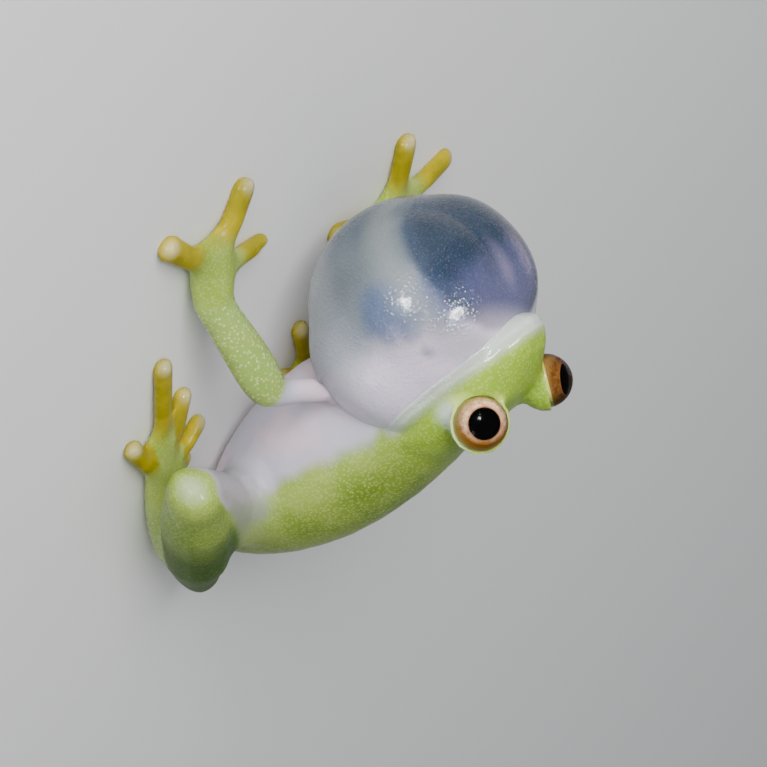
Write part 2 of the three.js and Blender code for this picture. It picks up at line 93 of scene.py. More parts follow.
# The ends of the upper arms, as (outwards, forward of the vent, up). Their solids stop short of the sac,
# and a hidden stretch of limb carries the skin on from there to the shoulder.
SHOULDER = (3.2, 14.6, 6.3)
ELBOWS = {"left": (8.3, 15.45, 4.55), "right": (8.4, 14.2, 5.2)}
SHOULDER_RADIUS = 0.46  # before the skin grows over it
HIDDEN_FROM = 0.45  # where the hidden stretch starts, as a share of the way from the elbow
KNEE_DEPTH = 1.2  # how far the knee's middle is below the top of the shank
FLESH = [name for name in frame["nodes"] if not name.startswith("eye") and name != "vocal_sac"]


# The trunk's own frame has x to the left, y back from the snout tip, and z up, square to the body's length.


def trunk_place():
    """The matrix from the trunk's frame to the row's, both in millimetres."""
    torso = np.array([v.co for v in frame["nodes"]["torso"].data.vertices]) / METRES
    lowest, highest = torso.min(0), torso.max(0)
    snout_height = VENT_HEIGHT + BODY_LENGTH * math.sin(BODY_PITCH)
    along = torso[:, 1] * math.cos(BODY_PITCH) - (torso[:, 2] - snout_height) * math.sin(BODY_PITCH)
    back = (along.max() - BODY_LENGTH - VENT_BEYOND) / math.cos(BODY_PITCH)
    place = Matrix.Translation(((lowest[0] + highest[0]) / 2, back, snout_height))
    return place @ Matrix.Rotation(-BODY_PITCH, 4, "X")


TRUNK = trunk_place()
ROW_TO_TRUNK = TRUNK.inverted()


def moved(points, matrix):
    turn = np.array(matrix.to_3x3())
    return points @ turn.T + np.array(matrix.translation)


def smoothstep(low, high, values):
    share = np.clip((values - low) / (high - low), 0, 1)
    return share * share * (3 - 2 * share)


def turn_head(points, back=False):
    """Turns points of the trunk's frame with the head, more and more from the shoulders to the eyes."""
    angle = HEAD_TURN * (1 - smoothstep(NECK - 3, NECK + 2, points[:, 1])) * (-1 if back else 1)
    x, y = points[:, 0], points[:, 1] - NECK
    turned = points.copy()
    turned[:, 0] = x * np.cos(angle) - y * np.sin(angle)
    turned[:, 1] = x * np.sin(angle) + y * np.cos(angle) + NECK
    return turned


def aimed(turn, lift):
    """The direction turned to the left of straight ahead, and lifted, in degrees."""
    turn, lift = math.radians(turn), math.radians(lift)
    return Vector((math.sin(turn) * math.cos(lift), -math.cos(turn) * math.cos(lift), math.sin(lift)))


def facing(way):
    """The matrix that turns +Z to a direction."""
    return way.to_track_quat("Z", "Y").to_matrix().to_4x4()


def eye_frame(side, turn, lift):
    """The matrix from an eye's own frame, which looks along +Z, to the trunk's."""
    sign = 1 if side == "left" else -1
    axis = aimed(sign * turn + math.degrees(HEAD_TURN), lift)
    centre = turn_head(np.array([[sign * EYE["x"], EYE["y"], EYE["z"]]]))[0]
    return Matrix.Translation(centre) @ facing(axis)


def lid_frame(side):
    """The matrix from the frame of an eye's opening to the row's."""
    return TRUNK @ eye_frame(side, EYE["turn"], EYE["lift"][side])


def sac_radius(directions):
    """The sac's radius in each direction from its centre, in the trunk's frame before the head turns."""
    mirrored = np.column_stack([np.abs(directions[:, 0]), directions[:, 1:]])
    swell = 1.0
    for turn, lift, share, spread in SAC_LOBES:
        swell = swell + share * smoothstep(spread, 1, mirrored @ np.array(aimed(turn, lift)))
    return SAC["radius"] * swell


# Mesh helpers


def points_of(mesh):
    points = np.empty(len(mesh.vertices) * 3)
    mesh.vertices.foreach_get("co", points)
    return points.reshape(-1, 3)


def set_points(mesh, points):
    mesh.vertices.foreach_set("co", points.astype(np.float32).ravel())
    mesh.update()


def normals_of(mesh):
    normals = np.empty(len(mesh.vertices) * 3)
    mesh.vertices.foreach_get("normal", normals)
    return normals.reshape(-1, 3)


def edges_of(mesh):
    edges = np.empty(len(mesh.edges) * 2, np.int64)
    mesh.edges.foreach_get("vertices", edges)
    return edges.reshape(-1, 2)


def neighbour_mean(values, edges):
    """The mean of each vertex's neighbours, for one column of values or several."""
    columns = values.reshape(len(values), -1)
    count = np.bincount(edges.ravel(), minlength=len(values))
    count = np.maximum(count, 1)
    total = [
        np.bincount(edges[:, 0], columns[edges[:, 1], k], len(values))
        + np.bincount(edges[:, 1], columns[edges[:, 0], k], len(values))
        for k in range(columns.shape[1])
    ]
    return (np.stack(total, 1) / count[:, None]).reshape(values.shape)


def relaxed(points, edges, share, rounds, back=0.0):
    """Smooths points. Each round moves them in by share, and then out again by share times back."""
    weight = np.broadcast_to(share, len(points))[:, None]
    for _ in range(rounds):
        points = points + (neighbour_mean(points, edges) - points) * weight
        if back:
            points = points - (neighbour_mean(points, edges) - points) * weight * back
    return points


def pushed_out(mesh, points, amount):
    set_points(mesh, points)
    return points + normals_of(mesh) * amount[:, None]


def blurred(values, edges, rounds):
    for _ in range(rounds):
        values = 0.4 * values + 0.6 * neighbour_mean(values, edges)
    return values


def piece_of(name, mesh):
    piece = bpy.data.objects.new(name, mesh)
    bpy.context.scene.collection.objects.link(piece)
    mesh.polygons.foreach_set("use_smooth", np.ones(len(mesh.polygons), bool))
    return piece


def mesh_from(bm, name):
    mesh = bpy.data.meshes.new(name)
    bm.to_mesh(mesh)
    bm.free()
    return mesh


# The skin

CLOSING = 0.24  # the solids grow by this to close the gaps between them, and the skin shrinks back by it
VOXEL = 0.155
# Rounds of smoothing and of blurring, to suit this size of voxel
SMOOTHING = {"steps": 4, "facets": 21, "seams": 49, "palms": 98, "hips": 140}
BLURRING = {"solids": 8, "seams": 21, "hips": 28, "paint": 42}


def add_limb(bm, start, end, radius):
    """A plain stretch of limb between two points of the row's frame, hidden inside the skin round it."""
    way = end - start
    place = Matrix.Translation((start + end) / 2) @ facing(way)
    sizes = {"radius1": radius, "radius2": radius, "depth": way.length}
    bmesh.ops.create_cone(bm, cap_ends=True, cap_tris=True, segments=24, matrix=place, **sizes)


def fused_flesh():
    """One closed mesh round copies of all the flesh solids, in millimetres."""
    bm = bmesh.new()
    for name in FLESH:
        bm.from_mesh(frame["nodes"][name].data)
    bmesh.ops.scale(bm, vec=(1 / METRES,) * 3, verts=bm.verts)
    vent = TRUNK @ Vector((0, BODY_LENGTH, 0))
    for sign, elbow in ((1, ELBOWS["left"]), (-1, ELBOWS["right"])):
        low, high = (
            Vector((vent.x + sign * outwards, vent.y - forward, up))
            for outwards, forward, up in (elbow, SHOULDER)
        )
        add_limb(bm, low.lerp(high, HIDDEN_FROM), high, SHOULDER_RADIUS)
    bmesh.ops.remove_doubles(bm, verts=bm.verts, dist=0.0005)
    bm.normal_update()
    for vertex in bm.verts:
        vertex.co += vertex.normal * CLOSING
    grown = bpy.data.objects.new("grown", mesh_from(bm, "grown"))
    bpy.context.scene.collection.objects.link(grown)
    remesh = grown.modifiers.new("fuse", "REMESH")
    remesh.mode = "VOXEL"
    remesh.voxel_size = VOXEL
    depsgraph = bpy.context.evaluated_depsgraph_get()
    mesh = bpy.data.meshes.new_from_object(grown.evaluated_get(depsgraph))
    bpy.data.objects.remove(grown)
    edges = edges_of(mesh)
    points = relaxed(points_of(mesh), edges, 0.5, SMOOTHING["steps"], back=1.0)
    set_points(mesh, points)
    set_points(mesh, points - normals_of(mesh) * CLOSING)
    return mesh


def nearest_nodes(points):
    """For each point in the row's frame, the index in FLESH of the nearest solid."""
    corners, faces, owner = [], [], []
    for index, name in enumerate(FLESH):
        mesh = frame["nodes"][name].data
        start = len(corners)
        corners.extend(v.co / METRES for v in mesh.vertices)
        faces.extend([start + i for i in p.vertices] for p in mesh.polygons)
        owner.extend([index] * len(mesh.polygons))
    tree = BVHTree.FromPolygons(corners, faces)
    return np.array([owner[tree.find_nearest(Vector(p))[2]] for p in points])


def along_digits(name, points):
    """Each point's place along its nearest digit, from 0 to 1, and how far it is from that digit's end."""
    (left, forward), heading, digits = DIGITS[name]
    side = 1 if left > 0 else -1
    vent = np.array(TRUNK @ Vector((0, BODY_LENGTH, 0)))
    start = np.array([vent[0] + left, vent[1] - forward])
    nearest = np.full(len(points), np.inf)
    along = np.zeros(len(points))
    from_end = np.zeros(len(points))
    for turn, length in digits:
        angle = math.radians(heading + turn)
        way = np.array([side * math.sin(angle), -math.cos(angle)])
        reach = np.clip((points[:, :2] - start) @ way, 0, length)
        distance = np.linalg.norm(points[:, :2] - start - reach[:, None] * way, axis=1)
        closer = distance < nearest
        nearest[closer] = distance[closer]
        along[closer] = (reach / length)[closer]
        end = np.append(start + way * (length - TIP["inset"]), TIP["height"])
        from_end[closer] = np.linalg.norm(points - end, axis=1)[closer]
    return along, from_end


def bell(values, width):
    return np.exp(-((values / width) ** 2))


def mouth_height(y):
    along = np.clip(y / MOUTH["corner"], 0, 1)
    return np.interp(along, (0, 0.5, 1), (MOUTH["front"], MOUTH["middle"], MOUTH["back"]))


def noises(points, scale):
    return np.array([noise.noise(Vector(p)) for p in points * scale])


def close_lids(points):
    """Draws the lids in until they lie on the eyes."""
    for side in ("left", "right"):
        centre = np.array(lid_frame(side).translation)
        offset = points - centre
        distance = np.linalg.norm(offset, axis=1)
        drawn = distance - LIDS["drawn"] * (1 - smoothstep(LIDS["near"], LIDS["far"], distance))
        drawn = np.maximum(drawn, EYE_CORNEA + LIDS["clear"])
        near = distance < LIDS["far"]
        points[near] = centre + offset[near] * (drawn / distance)[near, None]
    return points


def stretch_jaw(points, share):
    """Lays the jaw's skin on the sac, thinner and thinner towards its edge."""
    trunk_points = turn_head(moved(points, ROW_TO_TRUNK), back=True)
    middle = np.array([0, SAC["y"], SAC["z"]])
    offset = trunk_points - middle
    distance = np.linalg.norm(offset, axis=1)
    proud = distance - sac_radius(offset / distance[:, None])
    y, z = trunk_points.T[1:]

    # The skin's distance from the sac follows its height over the edge, and this fades out all round
    above = z - JAW["edge"] - JAW["slope"] * y
    wanted = np.interp(above, (-0.5, -0.12, 0.1, 0.7), (-0.3, -0.06, 0.05, 0.12))
    amount = share["head"] * (1 - smoothstep(0.3, 0.55, np.abs(proud))) * (1 - smoothstep(0.4, 1.2, above))
    amount = amount * smoothstep(-1.0, -0.6, above) * (1 - smoothstep(NECK - 1.2, NECK, y))
    amount = amount * (wanted - proud)
    trunk_points = trunk_points + offset / distance[:, None] * amount[:, None]
    return moved(turn_head(trunk_points), TRUNK)


def skin_piece():
    mesh = fused_flesh()
    edges = edges_of(mesh)
    points = points_of(mesh)
    nearest = nearest_nodes(points)
    share = {
        name: blurred((nearest == index).astype(float), edges, BLURRING["solids"])
        for index, name in enumerate(FLESH)
    }

    # The facets of the solids go. The lids keep their shape, and the digits most of it.
    eye_distance = np.full(len(points), np.inf)
    for side in ("left", "right"):
        centre = np.array(lid_frame(side).translation)
        eye_distance = np.minimum(eye_distance, np.linalg.norm(points - centre, axis=1))
    off_lids = smoothstep(1.9, 2.8, eye_distance)
    digits = sum(share[name] * smoothstep(0.2, 0.4, along_digits(name, points)[0]) for name in DIGITS)
    limbs = np.clip(1 - share["torso"] - share["head"], 0, 1)
    calm = (1 - np.clip(digits, 0, 1)) * off_lids
    points = relaxed(points, edges, 0.5 * off_lids * (1 - 0.6 * digits), SMOOTHING["facets"])
    points = pushed_out(mesh, points, (0.01 + 0.04 * limbs) * off_lids)

    # Where two solids met, and at the knee, the skin runs through without a crease.
    widely = {name: blurred(values, edges, BLURRING["seams"]) for name, values in share.items()}
    seam = 2.6 * (1 - np.max(list(widely.values()), axis=0))
    seam = seam + 1 - smoothstep(1.0, 2.4, knee_distance(points))
    seam = np.clip(seam, 0, 1) * off_lids
    points = relaxed(points, edges, 0.5 * seam, SMOOTHING["seams"])
    points = pushed_out(mesh, points, 0.07 * seam * limbs)

    # The palms and soles are soft, and the thighs run into the trunk.
    palms = sum(
        share[name] * (1 - smoothstep(0.35, 0.7, along_digits(name, points)[0])) for name in DIGITS
    )
    points = relaxed(points, edges, 0.5 * np.clip(palms, 0, 1), SMOOTHING["palms"])
    points = pushed_out(mesh, points, 0.06 * palms)
    hips = blurred(both(widely, "thigh"), edges, BLURRING["hips"])
    hips = hips * blurred(widely["torso"], edges, BLURRING["hips"])
    points = relaxed(points, edges, 0.5 * np.clip(6 * hips, 0, 1), SMOOTHING["hips"])
    points = relaxed(points, edges, 0.5, SMOOTHING["steps"], back=1.0)
    points = stretch_jaw(close_lids(points), share)
    set_points(mesh, points)
    normals = normals_of(mesh)
    trunk_points = turn_head(moved(points, ROW_TO_TRUNK), back=True)
    y, z = trunk_points.T[1:]

    # The line of the mouth between soft lips
    near_mouth = share["head"] * (1 - smoothstep(MOUTH["corner"] - 1.5, MOUTH["corner"], y))
    off = z - mouth_height(y)
    amount = near_mouth * (0.02 * bell(off - 0.22, 0.14) - 0.035 * bell(off, 0.1))

    # The nostrils, each a pit with a raised rim
    for sign in (1, -1):
        pit = np.array([sign * (NOSTRIL["x"] + 0.05), NOSTRIL["y"], NOSTRIL["z"]])
        distance = np.linalg.norm(trunk_points - pit, axis=1)
        amount += 0.02 * bell(distance - 0.25, 0.12) - 0.1 * bell(distance, 0.13)

    # The skin's slight unevenness
    amount += 0.025 * (noises(points, 1.1) + 0.5 * noises(points, 2.6)) * calm
    points = points + normals * amount[:, None]
    points[:, 2] = np.maximum(points[:, 2], 0.0)
    set_points(mesh, points)

    paint_masks(mesh, edges, points, trunk_points, share)
    piece = piece_of("skin", mesh)
    piece.data.transform(Matrix.Scale(METRES, 4))
    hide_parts(*FLESH)
    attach(piece, "root")
    return piece


def set_mask(mesh, name, values):
    attribute = mesh.attributes.new(name, "FLOAT", "POINT")
    attribute.data.foreach_set("value", np.clip(values, 0, 1).astype(np.float32))


def both(share, part):
    """The left and the right one of a part together."""
    return share[part + "_left"] + share[part + "_right"]


def knee_distance(points):
    """How far each point is from the nearer knee."""
    distance = np.full(len(points), np.inf)
    for side, outermost in (("left", 1), ("right", 0)):
        corners = np.array(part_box("shank_" + side)) / METRES
        knee = np.array([corners[outermost, 0], corners[0, 1], corners[1, 2] - KNEE_DEPTH])
        distance = np.minimum(distance, np.linalg.norm(points - knee, axis=1))
    return distance


def paint_masks(mesh, edges, points, trunk_points, share):
    """Where each colour of the skin lies, as soft masks on the mesh."""
    y, z = trunk_points.T[1:]
    head, torso = share["head"], share["torso"]
    wobble = noises(points, 0.8)
    from_knee = knee_distance(points)

    # White skin: the belly and flanks, the upper arms and the sides of the thighs
    thigh = both(share, "thigh")
    edge = np.interp(y, (10, 16, 18, 20, 22, 25), (-0.1, -1.1, -1.1, -0.8, -0.5, -0.5))
    off_knee = smoothstep(1.2, 2.6, from_knee)
    flank = (torso + thigh * off_knee) * (1 - smoothstep(-1.25, 1.25, z + 0.5 * wobble - edge))
    upper_arm = np.clip(1.3 * blurred(both(share, "upper_arm"), edges, BLURRING["paint"]), 0, 1)
    set_mask(mesh, "white", np.maximum(flank, upper_arm))

    # The grey low side of the thighs, partly the translucent skin's own grey and partly painted shade
    shank = both(share, "shank")
    hip = np.clip(2.0 * blurred(thigh, edges, BLURRING["paint"]), 0, 1)
    hip = hip * off_knee * (1 - np.clip(1.5 * shank, 0, 1))
    set_mask(mesh, "hip", hip * (1 - smoothstep(-0.7, 0.8, z + 0.5 * wobble)))

    # The jaw's whitish band below the line of the mouth
    band = z - mouth_height(y) - 0.15
    set_mask(mesh, "jaw", head * (1 - smoothstep(-0.25, 0.6 + 0.1 * wobble, band)))

    # Deep green on the crown, the back and the shanks, partly their own colour and partly painted shade
    # on the top of the body. The shanks darken to the heels in painted shade, and are pale at the knees
    crown = head * smoothstep(0.0, 1.5, z) + torso * smoothstep(-0.3, 2.0, z)
    set_mask(mesh, "deep", crown + shank * smoothstep(1.2, 2.8, from_knee))
    set_mask(mesh, "heel_shade", shank * smoothstep(3.5, 8.5, from_knee))
    set_mask(mesh, "knee", (shank + thigh) * (1 - smoothstep(0.5, 1.5, from_knee)))

    # Yellow digits with pale round ends, partly their own colour and partly a painted highlight
    yellow = np.zeros(len(points))
    tips = np.zeros(len(points))
    for name in DIGITS:
        along, from_end = along_digits(name, points)
        yellow += share[name] * smoothstep(0.38, 0.62, along)
        tips += share[name] * (1 - smoothstep(0.0, 0.85, from_end))
    set_mask(mesh, "yellow", yellow)
    set_mask(mesh, "tips", tips)
    set_mask(mesh, "digits", sum(share[name] for name in DIGITS))

    # The brighter green of the head, and the beaded skin of the forearms and tarsi
    set_mask(mesh, "head", (head + torso) * (1 - smoothstep(5.0, 12.0, y)))
    set_mask(mesh, "granular", both(share, "forearm") + 0.7 * both(share, "tarsus") + 0.12 * shank)

    # A pale ring round each eye, and a whitish patch below and behind it
    ring = np.zeros(len(points))
    pouch = np.zeros(len(points))
    behind = np.array(TRUNK.to_3x3() @ Vector((0, 0.9, -0.44)))
    for side in ("left", "right"):
        local = moved(points, lid_frame(side).inverted())
        distance = np.linalg.norm(local, axis=1)
        below = behind @ np.array(lid_frame(side).to_3x3())
        lower = smoothstep(0.1, 0.9, (local / distance[:, None]) @ below)
        near = 1 - smoothstep(1.7, 1.8 + 0.9 * lower, distance)
        ring += (1 - smoothstep(0.08, 0.3, np.abs(local[:, 2] - 0.1))) * near
        pouch += lower * (1 - smoothstep(0.6, 1.5, np.abs(local[:, 2] - 0.1))) * near
    set_mask(mesh, "lid", ring * head)
    set_mask(mesh, "pouch", pouch * head)
    set_mask(mesh, "mouth", head * (1 - smoothstep(0.0, 0.13, np.abs(z - mouth_height(y)))))


# The vocal sac and the eyes


def sac_piece():
    """The blown-up sac: a ball under the jaw, with two low lobes on each side."""
    bm = bmesh.new()
    bmesh.ops.create_uvsphere(bm, u_segments=144, v_segments=96, radius=1)
    mesh = mesh_from(bm, "vocal_sac")
    points = points_of(mesh)
    points = points * sac_radius(points)[:, None] + np.array([0, SAC["y"], SAC["z"]])
    set_points(mesh, moved(turn_head(points), TRUNK) * METRES)
    piece = piece_of("throat_sac", mesh)
    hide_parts("vocal_sac")
    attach(piece, "root")
    return piece


def eye_pieces(side):
    """The painted ball with its iris drawn in to the pupil, and the clear cornea over it."""
    place = TRUNK @ eye_frame(side, *GAZE[side])
    bm = bmesh.new()
    bmesh.ops.create_uvsphere(bm, u_segments=96, v_segments=96, radius=EYE_BALL)
    for vertex in bm.verts:
        reach = vertex.co.xy.length
        if vertex.co.z > 0 and reach < IRIS:
            cone = IRIS_CONE["height"] - IRIS_CONE["fall"] * smoothstep(PUPIL, IRIS, reach)
            cone = cone - IRIS_CONE["sink"] * (1 - smoothstep(PUPIL - 0.1, PUPIL, reach))
            vertex.co.z = min(vertex.co.z, cone)
    bmesh.ops.transform(bm, matrix=Matrix.Scale(METRES, 4) @ place, verts=bm.verts)
    ball = piece_of("eyeball_" + side, mesh_from(bm, "eyeball_" + side))
    bm = bmesh.new()
    bmesh.ops.create_uvsphere(bm, u_segments=96, v_segments=64, radius=EYE_CORNEA)
    bmesh.ops.transform(bm, matrix=Matrix.Scale(METRES, 4) @ place, verts=bm.verts)
    cornea = piece_of("cornea_" + side, mesh_from(bm, "cornea_" + side))
    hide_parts("eye_" + side)
    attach(ball, "root")
    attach(cornea, "root")
    return ball, cornea


# Paint: expressions on sockets add the shader's nodes


class Field:
    """A value that varies over a surface. Arithmetic on it adds Math nodes."""

    def __init__(self, paint, socket):
        self.paint = paint
        self.socket = socket

    def math(self, operation, *values):
        return self.paint.math(operation, self, *values)

    def __add__(self, other):
        return self.math("ADD", other)

    def __radd__(self, other):
        return self.math("ADD", other)

    def __sub__(self, other):
        return self.math("SUBTRACT", other)

    def __rsub__(self, other):
        return self.paint.math("SUBTRACT", other, self)

    def __mul__(self, other):
        return self.math("MULTIPLY", other)

    def __rmul__(self, other):
        return self.math("MULTIPLY", other)

    def ease(self, low, high):
        """0 below low, 1 above high, smooth between."""
        made = self.paint.node(
            "ShaderNodeMapRange",
            {"interpolation_type": "SMOOTHSTEP"},
            {"Value": self, "From Min": low, "From Max": high},
        )
        return Field(self.paint, made.outputs["Result"])


class Paint:
    """A material built from Python expressions, with positions in millimetres."""

    def __init__(self, name):
        self.material = bpy.data.materials.new(name)
        self.material.use_nodes = True
        self.tree = self.material.node_tree
        self.tree.nodes.clear()
        coordinates = self.node("ShaderNodeTexCoord")
        scale = {"Vector": coordinates.outputs["Object"], "Scale": (1 / METRES,) * 3}
        self.place = self.node("ShaderNodeMapping", {}, scale).outputs["Vector"]

    def node(self, kind, settings=None, values=None):
        """Adds a node, with its settings first and then the value of each socket or a link to it."""
        made = self.tree.nodes.new(kind)
        for key, value in (settings or {}).items():
            setattr(made, key, value)
        for key, value in (values or {}).items():
            socket = made.inputs[key]
            if isinstance(value, Field):
                value = value.socket
            if isinstance(value, bpy.types.NodeSocket):
                self.tree.links.new(value, socket)
            else:
                socket.default_value = value
        return made

    def math(self, operation, *values):
        made = self.node("ShaderNodeMath", {"operation": operation}, dict(enumerate(values)))
        return Field(self, made.outputs[0])

    def vector_math(self, operation, *vectors):
        return self.node("ShaderNodeVectorMath", {"operation": operation}, dict(enumerate(vectors)))

    def vector(self, x, y, z):
        return self.node("ShaderNodeCombineXYZ", {}, {"X": x, "Y": y, "Z": z}).outputs[0]

    def axes(self, vector):
        parts = self.node("ShaderNodeSeparateXYZ", {}, {"Vector": vector})
        return [Field(self, parts.outputs[axis]) for axis in "XYZ"]

    def seen_from(self, matrix):
        """Positions in another frame, by the matrix that leads there from the row's."""
        values = {"Vector": self.place, "Location": matrix.translation, "Rotation": matrix.to_euler()}
        return self.node("ShaderNodeMapping", {}, values).outputs["Vector"]

    def mix(self, share, first, second):
        values = {0: share, 6: colour(first), 7: colour(second)}
        return self.node("ShaderNodeMix", {"data_type": "RGBA"}, values).outputs[2]

    def mask(self, name):
        made = self.node("ShaderNodeAttribute", {"attribute_name": name})
        return Field(self, made.outputs["Fac"])

    def clouds(self, scale, detail=3.0, roughness=0.5, place=None):
        """Noise, with this many clouds to a millimetre."""
        values = {"Vector": place or self.place, "Scale": scale, "Detail": detail, "Roughness": roughness}
        return Field(self, self.node("ShaderNodeTexNoise", {}, values).outputs["Fac"])

    def cells(self, scale):
        """Distances from the middles of uneven cells, with this many cells to a millimetre."""
        values = {"Vector": self.place, "Scale": scale}
        made = self.node("ShaderNodeTexVoronoi", {"feature": "F1"}, values)
        return Field(self, made.outputs["Distance"])

    def bump(self, height, distance):
        values = {"Height": height, "Distance": distance * METRES, "Strength": 1.0}
        return self.node("ShaderNodeBump", {}, values).outputs["Normal"]

    def shader(self, values):
        return self.node("ShaderNodeBsdfPrincipled", {}, values)

    def output(self, shader):
        socket = shader.outputs[0]
        self.node("ShaderNodeOutputMaterial", {}, {"Surface": socket})
        return self.material


def colour(value):
    """A colour given as red, green and blue from 0 to 255 in the picture's scale, or a socket as it is."""
    if not isinstance(value, tuple):
        return value
    linear = [((c / 255 + 0.055) / 1.055) ** 2.4 if c > 10 else c / 255 / 12.92 for c in value]
    return (*linear, 1.0)


def skin_paint():
    paint = Paint("moist_skin")
    patches = paint.clouds(0.35, 2.0)
    patchy = patches.ease(0.35, 0.65)
    grain = paint.clouds(3.0, 3.0, 0.6)
    granules = paint.cells(6.0)
    beads = paint.cells(4.6)
    granular, heel_shade, knee = paint.mask("granular"), paint.mask("heel_shade"), paint.mask("knee")
    jaw, tips, white = paint.mask("jaw"), paint.mask("tips"), paint.mask("white")

    # Green, with pale granules and, on the forearms and tarsi, larger beads
    pale_green = paint.mix(patchy, (158, 178, 84), (140, 166, 62))
    deep_green = paint.mix(patchy, (128, 150, 56), (102, 128, 34))
    # The deep green of the top of the body and of the shanks is partly painted shade
    green = paint.mix(paint.mask("deep"), pale_green, deep_green)
    green = paint.mix(paint.mask("head") * 0.65, green, (144, 182, 36))
    green = paint.mix(granular * 0.55, green, (132, 164, 84))
    # Painted shade: darker green towards the heels
    green = paint.mix(heel_shade * 0.88, green, (46, 76, 0))
    dots = (1 - granules.ease(0.1, 0.6)) * (0.35 - 0.35 * granular - 0.3 * heel_shade)
    dots = dots + (1 - beads.ease(0.08, 0.5)) * 0.75 * granular
    green = paint.mix(dots, green, (202, 212, 134))

    # White skin, and over both the colour of each smaller place
    pearly = paint.mix(paint.clouds(0.3, 2.0).ease(0.35, 0.65), (212, 192, 206), (190, 188, 202))
    skin = paint.mix((white + 0.25 * (patches - 0.5)).ease(0.2, 0.85), green, pearly)
    yellow = paint.mix(paint.clouds(0.9, 2.0).ease(0.35, 0.65), (166, 148, 0), (140, 128, 0))
    for place, strength, tone in (
        # The hips' grey is partly painted shade
        (paint.mask("hip"), 0.75, (140, 142, 144)),
        (knee, 0.52, (186, 196, 172)),
        (jaw, 0.85, (200, 206, 206)),
        (paint.mask("yellow"), 0.95, yellow),
        # The pale ends of the digits are partly a painted highlight
        (tips, 0.45, (226, 218, 190)),
        (paint.mask("pouch"), 0.85, (204, 214, 214)),
        (paint.mask("lid"), 0.7, (186, 204, 96)),
        (paint.mask("mouth"), 0.15, (120, 126, 96)),
    ):
        skin = paint.mix(place * strength, skin, tone)

    # Painted highlights: white glints on the tops of the beads, as on wet skin
    painted_glints = (1 - beads.ease(0.06, 0.22)) * paint.clouds(1.6, 2.0).ease(0.4, 0.65)
    shiny = 0.02 + 0.5 * granular + 1.2 * knee + 1.6 * jaw
    painted_glints = painted_glints * shiny * (1 - white) * (1 - paint.mask("digits"))
    skin = paint.mix(painted_glints, skin, (250, 252, 240))

    # Fine granules all over, and raised beads on the granular skin and the jaw
    height =(1 - granules.ease(0.0, 0.45)) * 0.3
    height = height + (1 - beads.ease(0.0, 0.5)) * (granular + 0.8 * jaw)
    height = height * (1 - white * 0.8) + grain * 0.3
    shader = paint.shader(
        {
            "Base Color": skin,
            "Roughness": 0.4 - 0.12 * grain - 0.08 * granular + 0.25 * heel_shade,
            "Specular IOR Level": 0.2,
            "IOR": 1.3,
            "Subsurface Weight": 0.3,
            "Subsurface Radius": (1.0, 0.8, 0.45),
            "Subsurface Scale": 0.5 * METRES,
            "Coat Weight": 0.04 + 0.3 * tips + 0.5 * granular + 0.5 * jaw,
            "Coat Roughness": 0.1,
            "Normal": paint.bump(height, 0.035),
        }
    )
    return paint.output(shader)


